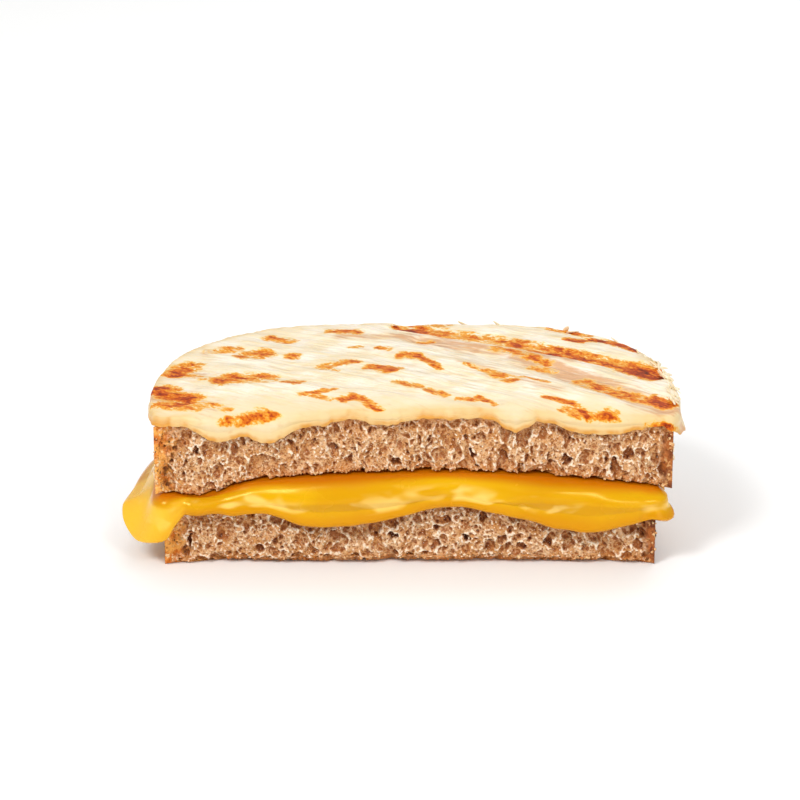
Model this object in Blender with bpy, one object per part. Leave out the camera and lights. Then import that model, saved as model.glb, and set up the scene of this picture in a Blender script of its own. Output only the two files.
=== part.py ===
"""One half of a grilled cheese sandwich, lying on its lower slice with the cut side towards -Y.

Two slices of brown bread hold a sheet of melted cheddar, and a thin coat of melted cheese covers the
top. The layers run through the whole half. Lengths are metres, +Z is up, and the origin is on the
table under the middle of the whole. Heights are worked out from the table upwards.
"""

import math

import bmesh
import bpy
import numpy as np
from mathutils import Vector

MM = 0.001

# A slice seen from above is a superellipse, wider than deep, that a straight cut shortens in front.
LOAF_POWER = 2.45
CUT_TO_WIDEST = 14 * MM
TOP_HALF_LENGTH = 54.6 * MM
TOP_WIDEST_TO_BACK = 49.5 * MM
BOTTOM_HALF_LENGTH = 52.2 * MM
BOTTOM_WIDEST_TO_BACK = 48 * MM
BOTTOM_SHIFT = -0.8 * MM

# The crust line is uneven: waves round the slice as (waves per turn, height, phase).
CRUST_WAVES = ((3, 0.7 * MM, -0.4), (5, 0.5 * MM, 3.6), (9, 0.3 * MM, 1.0))

# Layers at the ends of the cut, and how much more each surface rises over the middle of the half.
GAP = 0.3 * MM
BOTTOM_SLICE = 12.6 * MM
CHEDDAR = 2.4 * MM
TOP_SLICE = 15.8 * MM
COAT = 1.8 * MM
RISE_UNDER_CHEDDAR = 2.2 * MM
RISE_OVER_CHEDDAR = 5.0 * MM
RISE_OF_TOP = 2.2 * MM
ARCH_CENTRE = 4 * MM
ARCH_HALF_SPAN = 58 * MM
HOLLOW_UNDER_CUT = 1.6 * MM

# Where the upper slice sinks into the cheddar beside the left end of the cut.
DIP_CENTRE = -43 * MM
DIP_HALF_WIDTH = 10 * MM
DIP_DEPTH = 1.8 * MM
DIP_REACH = 15 * MM

# The baked edge of a slice is rounded, the cut edge is sharp. The top falls a little to the back crust.
CRUST_INSET = 1.5 * MM
CRUST_DROP = 1.1 * MM
BACK_FALL = 0.9 * MM
BACK_FALL_POWER = 8

# Melted edges that hang over the slice below: (where along the cut, half width, how far down).
COAT_SCALLOPS = (
    (-41.0 * MM, 8.0 * MM, 3.6 * MM),
    (-30.0 * MM, 11.0 * MM, 4.8 * MM),
    (-19.0 * MM, 7.0 * MM, 1.5 * MM),
    (-7.0 * MM, 8.0 * MM, 1.3 * MM),
    (20.8 * MM, 5.5 * MM, 2.7 * MM),
    (36.0 * MM, 12.0 * MM, 2.9 * MM),
    (45.5 * MM, 8.0 * MM, 1.1 * MM),
)
CHEDDAR_FOLDS = (
    (-35.5 * MM, 8.0 * MM, 0.9 * MM),
    (-19.0 * MM, 16.0 * MM, 4.1 * MM),
    (-6.0 * MM, 12.0 * MM, 2.8 * MM),
    (17.0 * MM, 9.0 * MM, 1.1 * MM),
    (34.6 * MM, 22.0 * MM, 4.9 * MM),
)
COAT_EDGE = 0.6 * MM
CHEDDAR_EDGE = 2.7 * MM
CHEDDAR_CRUST_EDGE = 0.5 * MM
CHEDDAR_LIP = 2.6 * MM
COAT_LIP = 1.3 * MM

# Flaps of a sheet round a corner of the cut or over the crust: (where, extra length, slope in degrees).
# Where is measured along the edge from the corner, counter-clockwise from above.
HANG = 84
LEFT_TONGUE = (
    (-40.0 * MM, 0.0 * MM, HANG),
    (-35.0 * MM, 2.6 * MM, 28),
    (-20.0 * MM, 5.4 * MM, 24),
    (-7.0 * MM, 8.1 * MM, 24),
    (-2.4 * MM, 8.6 * MM, 50),
    (0.0 * MM, 8.0 * MM, 62),
    (2.1 * MM, 5.2 * MM, 76),
    (4.2 * MM, 2.6 * MM, HANG),
    (8.0 * MM, 0.0 * MM, HANG),
)
RIGHT_TIP = (
    (-4.2 * MM, 0.0 * MM, HANG),
    (-2.0 * MM, 2.4 * MM, 72),
    (0.0 * MM, 4.2 * MM, 52),
    (2.2 * MM, 2.2 * MM, 46),
    (5.0 * MM, 0.0 * MM, HANG),
)
COAT_LOBE = (
    (-2.5 * MM, 0.0 * MM, HANG),
    (1.0 * MM, 3.8 * MM, 72),
    (6.0 * MM, 5.2 * MM, 64),
    (14.0 * MM, 3.2 * MM, 72),
    (24.0 * MM, 0.0 * MM, HANG),
)
RIGHT_DRIP = ((46.0 * MM, 0.0 * MM, HANG), (57.0 * MM, 2.6 * MM, HANG), (66.0 * MM, 0.0 * MM, HANG))
BACK_DRIP = ((76.0 * MM, 0.0 * MM, HANG), (86.0 * MM, 3.4 * MM, HANG), (97.0 * MM, 0.0 * MM, HANG))

# The skin of each layer is a lattice: columns round the rim, and rings from the top to the underside.
CUT_COLUMNS = 50
CRUST_COLUMNS = 54
COLUMNS = CUT_COLUMNS + CRUST_COLUMNS
FACE_RINGS = (0.0, 0.42, 0.76, 0.93)
WALL_RINGS = (0.22, 0.5, 0.78)
HANG_RINGS = (0.0, 0.34, 0.67, 1.0)
SLICE_RINGS = 2 * len(FACE_RINGS) + len(WALL_RINGS) + 1
SHEET_RINGS = 2 * len(FACE_RINGS) + 2 * len(HANG_RINGS)
MIDDLE_TO_CUT = 30 * MM
SMOOTH_ANGLE = math.radians(40)

BREAD_COLOUR = (0.62, 0.42, 0.26, 1.0)
CHEDDAR_COLOUR = (0.95, 0.56, 0.05, 1.0)
COAT_COLOUR = (0.96, 0.86, 0.62, 1.0)


def smooth_hill(distance, half_width):
    """One in the middle, falling evenly to nothing at the half width and beyond."""
    reach = min(1.0, abs(distance) / half_width)
    return math.cos(reach * math.pi / 2) ** 2


def backward(y):
    """Share of the way from the cut to the back crust."""
    return max(0.0, min(1.0, (y + CUT_TO_WIDEST) / (CUT_TO_WIDEST + TOP_WIDEST_TO_BACK)))


def arch(x, y):
    """How much of the rise a surface has at a place: most over the cut's middle, none at the back."""
    across = max(0.0, 1.0 - ((x - ARCH_CENTRE) / ARCH_HALF_SPAN) ** 2)
    return across * (1.0 - backward(y) ** 2)


def back_fall(x, y):
    """How far the top is down at a place: nothing at the cut, most at the crust behind."""
    across = (abs(x) / TOP_HALF_LENGTH) ** LOAF_POWER
    along = (abs(y) / TOP_WIDEST_TO_BACK) ** LOAF_POWER
    nearness = min(1.0, (across + along) ** (1 / LOAF_POWER))
    return BACK_FALL * backward(y) * nearness ** BACK_FALL_POWER


def dip(x, y):
    """How far the upper slice sinks into the cheddar at a place, fading backwards from the cut."""
    fade = math.exp(-max(0.0, y + CUT_TO_WIDEST) / DIP_REACH)
    return DIP_DEPTH * smooth_hill(x - DIP_CENTRE, DIP_HALF_WIDTH) * fade


def rim_of_slice(half_length, widest_to_back, shift):
    """Rim points of a slice, counter-clockwise from the left end of the cut, in COLUMNS steps."""
    cut_half = half_length * (1 - (CUT_TO_WIDEST / widest_to_back) ** LOAF_POWER) ** (1 / LOAF_POWER)
    rim = []
    for step in range(CUT_COLUMNS):
        rim.append(Vector((shift + cut_half * (2 * step / CUT_COLUMNS - 1), -CUT_TO_WIDEST, 0.0)))
    first_angle = math.atan2(-CUT_TO_WIDEST, cut_half)
    for step in range(CRUST_COLUMNS):
        share = step / CRUST_COLUMNS
        angle = first_angle + (math.pi - 2 * first_angle) * share
        across = abs(math.cos(angle)) / half_length
        along = abs(math.sin(angle)) / widest_to_back
        radius = (across ** LOAF_POWER + along ** LOAF_POWER) ** (-1 / LOAF_POWER)
        fade = math.sin(math.pi * share) ** 0.5
        for waves, height, phase in CRUST_WAVES:
            radius += fade * height * math.sin(waves * angle + phase)
        rim.append(Vector((shift + radius * math.cos(angle), radius * math.sin(angle), 0.0)))
    return rim


def outward(rim, column):
    """Level direction that points away from the slice at a rim point."""
    along = rim[(column + 1) % COLUMNS] - rim[column - 1]
    return Vector((along.y, -along.x, 0.0)).normalized()


def along_rim(rim, corner):
    """Distance of every column along the rim from a corner column, negative before the corner."""
    distances = [0.0] * COLUMNS
    half = COLUMNS // 2
    for step in range(1, half + 1):
        ahead = (corner + step) % COLUMNS
        behind = (corner - step) % COLUMNS
        distances[ahead] = distances[ahead - 1] + (rim[ahead] - rim[ahead - 1]).length
        if step < half:
            next_one = (behind + 1) % COLUMNS
            distances[behind] = distances[next_one] - (rim[next_one] - rim[behind]).length
    return distances


def on_profile(distance, profile, item):
    """Straight-line reading of a flap's profile: item 1 is the length, item 2 the slope."""
    return float(np.interp(distance, [row[0] for row in profile], [row[item] for row in profile]))


def place_on_face(rim, column, share):
    """Level place on a slice, from its middle (share 0) to its rim (share 1)."""
    middle = Vector((0.0, MIDDLE_TO_CUT - CUT_TO_WIDEST, 0.0))
    return middle.lerp(rim[column], share)


def closed_skin(name, ring_count, place):
    """A UV sphere whose vertices move to place(column, ring), ring 0 being the pole on top."""
    skin = bmesh.new()
    bmesh.ops.create_uvsphere(skin, u_segments=COLUMNS, v_segments=ring_count, radius=1.0)
    for vertex in skin.verts:
        turn = math.atan2(vertex.co.y, vertex.co.x) / math.tau
        fall = math.acos(max(-1.0, min(1.0, vertex.co.z))) / math.pi
        vertex.co = place(round(turn * COLUMNS) % COLUMNS, round(fall * ring_count))
    mesh = bpy.data.meshes.new(name)
    skin.to_mesh(mesh)
    skin.free()
    mesh.shade_smooth()
    mesh.set_sharp_from_angle(angle=SMOOTH_ANGLE)
    return mesh


def bread_slice(name, rim, upper, lower, hollow):
    """A slice between two height functions, with a rounded crust and a flat sharp cut."""
    faces = len(FACE_RINGS)
    walls = len(WALL_RINGS)

    def place(column, ring):
        on_crust = column > CUT_COLUMNS
        inset = outward(rim, column) * (-CRUST_INSET if on_crust else 0.0)
        drop = CRUST_DROP if on_crust else 0.0
        edge = rim[column] + inset
        high = Vector((edge.x, edge.y, upper(edge.x, edge.y) - drop))
        cut_lift = 0.0 if on_crust else hollow * arch(edge.x, edge.y)
        low = Vector((edge.x, edge.y, lower(edge.x, edge.y) + drop + cut_lift))
        if ring < faces:
            spot = place_on_face(rim, column, FACE_RINGS[ring])
            return Vector((spot.x, spot.y, upper(spot.x, spot.y)))
        if ring == faces:
            return high
        if ring <= faces + walls:
            wall = high.lerp(low, WALL_RINGS[ring - faces - 1])
            return Vector((rim[column].x, rim[column].y, wall.z))
        if ring == faces + walls + 1:
            return low
        spot = place_on_face(rim, column, FACE_RINGS[2 * faces + walls + 1 - ring])
        return Vector((spot.x, spot.y, lower(spot.x, spot.y)))

    return closed_skin(name, SLICE_RINGS, place)


def over_edge(rim, column, distance, radius, bend, slope):
    """Point beyond a slice's edge: round the edge at a radius, then straight on at the slope."""
    turn = min(distance / bend, slope)
    straight = distance - bend * turn
    out = radius * math.sin(turn) + straight * math.cos(turn)
    up = radius * math.cos(turn) - straight * math.sin(turn)
    return rim[column] + outward(rim, column) * out + Vector((0.0, 0.0, up))


def cheese_sheet(name, rim, under, over, lip, lengths, slopes):
    """A sheet on a slice: under is its lower face, over its upper face, and its edge hangs down."""
    faces = len(FACE_RINGS)
    hangs = len(HANG_RINGS)
    rim_ring = faces + hangs

    def place(column, ring):
        upper_side = ring < rim_ring
        mirrored = ring if upper_side else 2 * rim_ring - ring
        height = over if upper_side else under
        if mirrored < faces:
            spot = place_on_face(rim, column, FACE_RINGS[mirrored])
            return Vector((spot.x, spot.y, height(spot.x, spot.y)))
        edge = rim[column]
        table = under(edge.x, edge.y) - GAP
        thick = over(edge.x, edge.y) - under(edge.x, edge.y)
        bend = GAP + min(thick, lip) / 2
        share = 1.0 if ring == rim_ring else HANG_RINGS[mirrored - faces]
        thinned = thick + (lip - thick) * min(1.0, 1.6 * share)
        radius = GAP + thinned * (0.5 if ring == rim_ring else 1.0 if upper_side else 0.0)
        extra = lip * 0.35 if ring == rim_ring else 0.0
        spot = over_edge(rim, column, lengths[column] * share + extra, radius, bend, slopes[column])
        return spot + Vector((0.0, 0.0, table))

    return closed_skin(name, SHEET_RINGS, place)


def hanging_lengths(rim, base, crust_base, hills, flaps):
    """Length of a sheet's edge beyond the slice at every column."""
    lengths = []
    for column in range(COLUMNS):
        length = crust_base
        if column <= CUT_COLUMNS:
            length = base + sum(down * smooth_hill(rim[column].x - x, width) for x, width, down in hills)
        lengths.append(length)
    for corner, profile in flaps:
        distances = along_rim(rim, corner)
        for column in range(COLUMNS):
            flap_length = crust_base + on_profile(distances[column], profile, 1)
            lengths[column] = max(lengths[column], flap_length)
    return lengths


def slopes_round(rim, flaps):
    """Steepest slope of the hanging edge at every column: nearly upright, gentler on some flaps."""
    slopes = [HANG] * COLUMNS
    for corner, profile in flaps:
        distances = along_rim(rim, corner)
        for column in range(COLUMNS):
            slopes[column] = min(slopes[column], on_profile(distances[column], profile, 2))
    return [math.radians(slope) for slope in slopes]


def under_cheddar(x, y):
    """Top of the lower slice."""
    return BOTTOM_SLICE + RISE_UNDER_CHEDDAR * arch(x, y)


def over_cheddar(x, y):
    """Upper face of the cheddar between the slices."""
    return BOTTOM_SLICE + GAP + CHEDDAR + RISE_OVER_CHEDDAR * arch(x, y) - dip(x, y)


def top_of_bread(x, y):
    """Top of the upper slice."""
    at_ends = BOTTOM_SLICE + 2 * GAP + CHEDDAR + TOP_SLICE
    return at_ends + RISE_OF_TOP * arch(x, y) - back_fall(x, y)


def material(name, colour, roughness):
    """A plain opaque finish."""
    finish = bpy.data.materials.new(name)
    finish.use_nodes = True
    shader = finish.node_tree.nodes["Principled BSDF"]
    shader.inputs["Base Color"].default_value = colour
    shader.inputs["Roughness"].default_value = roughness
    shader.inputs["Metallic"].default_value = 0.0
    return finish


def add_part(collection, mesh, finish):
    """Put a finished mesh into the sandwich as a part of its own."""
    mesh.materials.append(finish)
    part = bpy.data.objects.new(mesh.name, mesh)
    collection.objects.link(part)
    return part


def stand_on_origin(parts):
    """Move all parts alike, so that the middle of the whole stands over the origin."""
    points = [vertex.co for part in parts for vertex in part.data.vertices]
    middle_x = (min(point.x for point in points) + max(point.x for point in points)) / 2
    middle_y = (min(point.y for point in points) + max(point.y for point in points)) / 2
    for part in parts:
        part.location = (-middle_x, -middle_y, 0.0)


def build_sandwich():
    """The half sandwich: lower slice, cheddar, upper slice and melted coat."""
    for old in list(bpy.data.objects):
        bpy.data.objects.remove(old)
    sandwich = bpy.data.collections.new("grilled_cheese_sandwich_half")
    bpy.context.scene.collection.children.link(sandwich)

    bottom_rim = rim_of_slice(BOTTOM_HALF_LENGTH, BOTTOM_WIDEST_TO_BACK, BOTTOM_SHIFT)
    top_rim = rim_of_slice(TOP_HALF_LENGTH, TOP_WIDEST_TO_BACK, 0.0)
    left_corner = 0
    right_corner = CUT_COLUMNS

    lower = bread_slice("bread_bottom", bottom_rim, under_cheddar, lambda x, y: 0.0, HOLLOW_UNDER_CUT)
    upper = bread_slice("bread_top", top_rim, top_of_bread, lambda x, y: over_cheddar(x, y) + GAP, 0.0)

    cheddar_flaps = ((left_corner, LEFT_TONGUE), (right_corner, RIGHT_TIP))
    coat_flaps = [(right_corner, profile) for profile in (COAT_LOBE, RIGHT_DRIP, BACK_DRIP)]
    cheddar = cheese_sheet(
        "cheddar_sheet",
        bottom_rim,
        lambda x, y: under_cheddar(x, y) + GAP,
        over_cheddar,
        CHEDDAR_LIP,
        hanging_lengths(bottom_rim, CHEDDAR_EDGE, CHEDDAR_CRUST_EDGE, CHEDDAR_FOLDS, cheddar_flaps),
        slopes_round(bottom_rim, cheddar_flaps),
    )
    coat = cheese_sheet(
        "melted_cheese",
        top_rim,
        lambda x, y: top_of_bread(x, y) + GAP,
        lambda x, y: top_of_bread(x, y) + GAP + COAT,
        COAT_LIP,
        hanging_lengths(top_rim, COAT_EDGE, COAT_EDGE, COAT_SCALLOPS, coat_flaps),
        slopes_round(top_rim, coat_flaps),
    )

    bread = material("brown_bread", BREAD_COLOUR, 0.9)
    parts = [
        add_part(sandwich, lower, bread),
        add_part(sandwich, cheddar, material("cheddar", CHEDDAR_COLOUR, 0.35)),
        add_part(sandwich, upper, bread),
        add_part(sandwich, coat, material("melted_white_cheese", COAT_COLOUR, 0.4)),
    ]
    stand_on_origin(parts)


build_sandwich()
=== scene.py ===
"""Looks of a grilled cheese sandwich half: open crumb, seeded crust, melted cheddar and a grilled coat.

Every piece is a skin worked out with numpy: columns run round the slice, counter-clockwise from the
left end of the cut, and rings run from the top to the underside. Lengths are in millimetres until a
mesh is made.
"""
import itertools

import bpy
import numpy as np
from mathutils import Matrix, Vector


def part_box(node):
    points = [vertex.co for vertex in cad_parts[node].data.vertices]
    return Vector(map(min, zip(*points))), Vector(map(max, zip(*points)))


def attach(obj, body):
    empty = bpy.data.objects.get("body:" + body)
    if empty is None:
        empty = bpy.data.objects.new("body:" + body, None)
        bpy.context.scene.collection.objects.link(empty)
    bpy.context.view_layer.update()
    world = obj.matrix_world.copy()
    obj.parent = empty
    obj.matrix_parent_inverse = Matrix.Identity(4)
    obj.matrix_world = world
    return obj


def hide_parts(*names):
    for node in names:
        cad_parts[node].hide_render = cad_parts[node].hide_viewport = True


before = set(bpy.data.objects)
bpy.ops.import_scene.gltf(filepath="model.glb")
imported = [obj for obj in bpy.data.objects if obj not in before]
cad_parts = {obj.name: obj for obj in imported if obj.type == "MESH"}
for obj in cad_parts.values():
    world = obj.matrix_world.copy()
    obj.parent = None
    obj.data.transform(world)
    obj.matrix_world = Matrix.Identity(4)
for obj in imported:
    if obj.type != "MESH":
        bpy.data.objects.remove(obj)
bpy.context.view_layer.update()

MM = 0.001

# Plan of a slice: a superellipse, wider than deep, cut straight across in front of its widest line.
LOAF_POWER = 2.45
CUT_TO_WIDEST = 14.0
TOP_PLAN = {"half_length": 54.6, "to_back": 49.5, "shift": 0.0}
BOTTOM_PLAN = {"half_length": 52.2, "to_back": 48.0, "shift": -0.8}
CRUST_WAVES = ((3, 0.7, -0.4), (5, 0.5, 3.6), (9, 0.3, 1.0))
MIDDLE_TO_CUT = 30.0

# Layers at the ends of the cut, and how much more each surface rises over the middle.
GAP = 0.3
BOTTOM_SLICE = 12.6
CHEDDAR = 2.4
TOP_SLICE = 15.8
COAT = 1.8
RISE_UNDER_CHEDDAR = 2.2
RISE_OVER_CHEDDAR = 5.0
RISE_OF_TOP = 2.2
ARCH_CENTRE = 4.0
ARCH_HALF_SPAN = 58.0
BACK_FALL = 0.9
BACK_FALL_POWER = 8
# How far the top edge gives way at the cut, and how soon that fades behind it.
EDGE_SAG = 0.9
SAG_REACH = 3.5
# Where the upper slice sinks into the cheddar beside its left end.
DIP_CENTRE = -43.0
DIP_HALF_WIDTH = 10.0
DIP_DEPTH = 1.8
DIP_REACH = 15.0

# Melted edges over the cut: (where along the cut, half width, how far down).
COAT_SCALLOPS = (
    (-41.0, 8.0, 3.6), (-30.0, 11.0, 4.8), (-19.0, 7.0, 1.5), (-7.0, 8.0, 1.3),
    (20.8, 5.5, 2.7), (36.0, 12.0, 2.9), (45.5, 8.0, 1.1),
)
CHEDDAR_FOLDS = (
    (-35.5, 8.0, 0.9), (-19.0, 16.0, 4.1), (-6.0, 12.0, 2.8), (17.0, 9.0, 1.1), (34.6, 22.0, 4.9),
)
COAT_EDGE = 0.6
CHEDDAR_EDGE = 2.4
CHEDDAR_CRUST_EDGE = 0.3
COAT_LIP = 0.9
CHEDDAR_LIP = 2.2

# Flaps of a sheet, along its edge from a corner: (where, extra length, slope in degrees).
HANG = 84.0
LEFT_TONGUE = (
    (-38.0, 0.0, HANG), (-34.0, 2.2, 28.0), (-20.0, 4.4, 24.0), (-13.0, 5.6, 24.0), (-7.0, 7.7, 24.0),
    (-4.6, 8.5, 34.0), (-2.2, 9.2, 54.0), (-0.7, 9.3, 62.0), (0.8, 7.4, 72.0), (2.4, 4.3, 76.0),
    (4.2, 2.3, HANG), (8.0, 0.0, HANG),
)
RIGHT_TIP = (
    (-3.0, 0.0, HANG), (-1.4, 2.4, 70.0), (0.4, 5.0, 50.0), (1.6, 2.2, 42.0), (3.6, 0.0, HANG),
)
COAT_LOBE = ((-2.5, 0.0, HANG), (1.0, 3.8, 74.0), (6.0, 5.0, 66.0), (14.0, 3.0, 74.0), (24.0, 0.0, HANG))
RIGHT_DRIP = ((46.0, 0.0, HANG), (57.0, 2.6, HANG), (66.0, 0.0, HANG))
BACK_DRIP = ((76.0, 0.0, HANG), (86.0, 3.4, HANG), (97.0, 0.0, HANG))

# The grill's bars run this way across the coat, in radians from the cut.
BAR_TURN = -0.55

# How finely the skins are laid out: columns along the cut and round the crust, rows down a wall and
# rows round the lip of a sheet.
BREAD_COLUMNS = (600, 300)
COAT_COLUMNS = (420, 260)
CHEDDAR_COLUMNS = (480, 420)
WALL_ROWS = 84
LIP_ROWS = 5


# ---------------------------------------------------------------- numbers that look random but aren't

def hashed(i, j, k, seed):
    """Fixed number from 0 to 1 for every cell of a lattice, from its whole-number place and a seed."""
    mixed = (i * 374761393 + j * 668265263 + k * 1440662683 + seed * 974634777) & 0xFFFFFFFF
    mixed = ((mixed ^ (mixed >> 15)) * 1274126177) & 0xFFFFFFFF
    mixed = ((mixed ^ (mixed >> 13)) * 461845907) & 0xFFFFFFFF
    return (mixed ^ (mixed >> 16)) / 0xFFFFFFFF


def noise(places, size, seed):
    """Smooth noise from -1 to 1: lattice values at the corners of cubes of a size, eased between."""
    scaled = places / np.asarray(size, float)
    cell = np.floor(scaled).astype(np.int64)
    part = scaled - cell
    part = part * part * (3.0 - 2.0 * part)
    total = 0.0
    for corner in itertools.product((0, 1), repeat=3):
        weight = np.prod(np.where(corner, part, 1.0 - part), axis=-1)
        i, j, k = np.moveaxis(cell + np.array(corner), -1, 0)
        total = total + weight * hashed(i, j, k, seed)
    return 2.0 * total - 1.0


def rough(places, size, seed, octaves=3):
    """Noise with finer and weaker noise added, each octave half the size and half the strength."""
    size = np.asarray(size, float)
    return sum(noise(places, size / 2 ** n, seed + n) / 2 ** n for n in range(octaves))


def ease(low, high, value):
    """Zero below low, one above high, with a smooth S between."""
    share = np.clip((value - low) / (high - low), 0.0, 1.0)
    return share * share * (3.0 - 2.0 * share)


def soften(field, passes):
    """A field averaged with its neighbours along both axes; columns wrap round, rings don't."""
    for _ in range(passes):
        field = (np.roll(field, 1, axis=1) + 2.0 * field + np.roll(field, -1, axis=1)) / 4.0
        padded = np.pad(field, ((1, 1), (0, 0)), mode="edge")
        field = (padded[:-2] + 2.0 * field + padded[2:]) / 4.0
    return field


# ---------------------------------------------------------------- the slice's outline and its layers

def outline(plan, counts):
    """Rim of a slice: even steps along the cut, then even angles round the superellipse.

    The radius at an angle is ((cos / half length)^p + (sin / depth)^p)^(-1/p) plus the crust's waves.
    """
    half, back = plan["half_length"], plan["to_back"]
    cut_half = half * (1 - (CUT_TO_WIDEST / back) ** LOAF_POWER) ** (1 / LOAF_POWER)
    cut_count, crust_count = counts
    along = np.arange(cut_count) / cut_count
    front = np.stack([cut_half * (2 * along - 1), np.full(cut_count, -CUT_TO_WIDEST)], axis=-1)
    first = np.arctan2(-CUT_TO_WIDEST, cut_half)
    share = np.arange(crust_count) / crust_count
    angle = first + (np.pi - 2 * first) * share
    radius = (np.abs(np.cos(angle)) / half) ** LOAF_POWER + (np.abs(np.sin(angle)) / back) ** LOAF_POWER
    radius = radius ** (-1 / LOAF_POWER)
    waves = sum(height * np.sin(count * angle + phase) for count, height, phase in CRUST_WAVES)
    radius = radius + np.sin(np.pi * share) ** 0.5 * waves
    crust = np.stack([radius * np.cos(angle), radius * np.sin(angle)], axis=-1)
    return np.concatenate([front, crust]) + np.array([plan["shift"], 0.0])


def round_corners(rim, passes):
    """The rim with its corners rounded, by averaging every point with its neighbours again and again."""
    for _ in range(passes):
        rim = (np.roll(rim, 1, axis=0) + 2.0 * rim + np.roll(rim, -1, axis=0)) / 4.0
    return rim


def outward(rim):
    """Level unit vectors that point away from the slice at every rim point."""
    along = np.roll(rim, -1, axis=0) - np.roll(rim, 1, axis=0)
    across = np.stack([along[:, 1], -along[:, 0]], axis=-1)
    return across / np.linalg.norm(across, axis=-1, keepdims=True)


def distance_along(rim, corner):
    """Distance of every column along the rim from a corner column, negative before the corner."""
    steps = np.linalg.norm(np.roll(rim, -1, axis=0) - rim, axis=-1)
    travelled = np.concatenate([[0.0], np.cumsum(steps)])
    whole = travelled[-1]
    return (travelled[:-1] - travelled[corner] + whole / 2) % whole - whole / 2


def backward(y):
    """Share of the way from the cut to the back crust."""
    return np.clip((y + CUT_TO_WIDEST) / (CUT_TO_WIDEST + TOP_PLAN["to_back"]), 0.0, 1.0)


def arch(x, y):
    """How much of the rise a surface has: most over the middle of the cut, none at the back."""
    across = np.maximum(0.0, 1.0 - ((x - ARCH_CENTRE) / ARCH_HALF_SPAN) ** 2)
    return across * (1.0 - backward(y) ** 2)


def back_fall(x, y):
    """How far the top is down at a place: nothing at the cut, most at the crust behind."""
    across = (np.abs(x) / TOP_PLAN["half_length"]) ** LOAF_POWER
    along = (np.abs(y) / TOP_PLAN["to_back"]) ** LOAF_POWER
    nearness = np.minimum(1.0, (across + along) ** (1 / LOAF_POWER))
    return BACK_FALL * backward(y) * nearness ** BACK_FALL_POWER


def dip(x, y):
    """How far the upper slice sinks into the cheddar: a squared cosine across, fading backwards."""
    fade = np.exp(-np.maximum(0.0, y + CUT_TO_WIDEST) / DIP_REACH)
    return DIP_DEPTH * hill(x, DIP_CENTRE, DIP_HALF_WIDTH) * fade


def hill(x, centre, half_width):
    """One at the centre, falling as a squared cosine to nothing at the half width."""
    reach = np.minimum(1.0, np.abs(x - centre) / half_width)
    return np.cos(reach * np.pi / 2) ** 2


def sag_at_cut(y):
    """How far the top edge of the upper slice gives way just behind the cut."""
    return EDGE_SAG * np.exp(-(y + CUT_TO_WIDEST) / SAG_REACH)


def under_cheddar(x, y):
    """Top of the lower slice."""
    return BOTTOM_SLICE + RISE_UNDER_CHEDDAR * arch(x, y)


def over_cheddar(x, y):
    """Upper face of the cheddar between the slices."""
    return BOTTOM_SLICE + GAP + CHEDDAR + RISE_OVER_CHEDDAR * arch(x, y) - dip(x, y)


def top_of_bread(x, y):
    """Top of the upper slice."""
    base = BOTTOM_SLICE + 2 * GAP + CHEDDAR + TOP_SLICE
    return base + RISE_OF_TOP * arch(x, y) - sag_at_cut(y) - back_fall(x, y)


def table(x, y):
    """What the lower slice lies on."""
    return np.zeros_like(x)


# Where the plan's own centre lies in the sandwich's frame, read from the solid of the upper slice.
top_low, top_high = (np.array(corner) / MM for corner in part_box("bread_top"))
top_rim = outline(TOP_PLAN, BREAD_COLUMNS)
bottom_rim = outline(BOTTOM_PLAN, BREAD_COLUMNS)
plan_centre = np.array([
    (top_low[0] + top_high[0] - top_rim[:, 0].min() - top_rim[:, 0].max()) / 2,
    top_low[1] + CUT_TO_WIDEST,
    0.0,
])


# ---------------------------------------------------------------- making meshes

def skin(name, rings, top_pole, bottom_pole, values, finish):
    """Closed skin from rings of points, top ring first, each end closed by a fan round its pole.

    values are the point attributes: for each name, numbers for every ring and column; the poles take
    the mean of the ring beside them.
    """
    count, columns = rings.shape[:2]
    points = np.concatenate([rings.reshape(-1, 3), [top_pole], [bottom_pole]])
    column = np.arange(columns)
    after = (column + 1) % columns
    row = np.arange(count - 1)[:, None] * columns
    quads = np.stack([row + column, row + columns + column, row + columns + after, row + after], axis=-1)
    top = count * columns
    last = (count - 1) * columns
    top_fan = np.stack([np.full(columns, top), column, after], axis=-1)
    bottom_fan = np.stack([np.full(columns, top + 1), last + after, last + column], axis=-1)
    piece = mesh_piece(name, points, (quads.reshape(-1, 4), top_fan, bottom_fan), finish)
    for title, field in values.items():
        field = np.broadcast_to(field, (count, columns))
        flat = np.concatenate([field.ravel(), [field[0].mean()], [field[-1].mean()]])
        layer = piece.data.attributes.new(title, "FLOAT", "POINT")
        layer.data.foreach_set("value", flat.astype(np.float32))
    return piece


def mesh_piece(name, points, faces, finish):
    """Mesh object from points in the plan's millimetres and groups of equal-sided faces."""
    corners = np.concatenate([group.ravel() for group in faces])
    sides = np.concatenate([np.full(len(group), group.shape[1]) for group in faces])
    mesh = bpy.data.meshes.new(name)
    mesh.vertices.add(len(points))
    mesh.vertices.foreach_set("co", ((points + plan_centre) * MM).astype(np.float32).ravel())
    mesh.loops.add(len(corners))
    mesh.loops.foreach_set("vertex_index", corners.astype(np.int32))
    mesh.polygons.add(len(sides))
    starts = np.concatenate([[0], np.cumsum(sides)[:-1]])
    mesh.polygons.foreach_set("loop_start", starts.astype(np.int32))
    mesh.update(calc_edges=True)
    mesh.validate()
    mesh.shade_smooth()
    mesh.materials.append(finish)
    piece = bpy.data.objects.new(name, mesh)
    bpy.context.scene.collection.objects.link(piece)
    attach(piece, "root")
    return piece


# ---------------------------------------------------------------- finishes

def paint(red, green, blue):
    """Linear colour from the 0 to 255 numbers that a paint chart gives."""
    share = np.array([red, green, blue]) / 255.0
    linear = np.where(share <= 0.04045, share / 12.92, ((share + 0.055) / 1.055) ** 2.4)
    return (*linear, 1.0)


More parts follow.
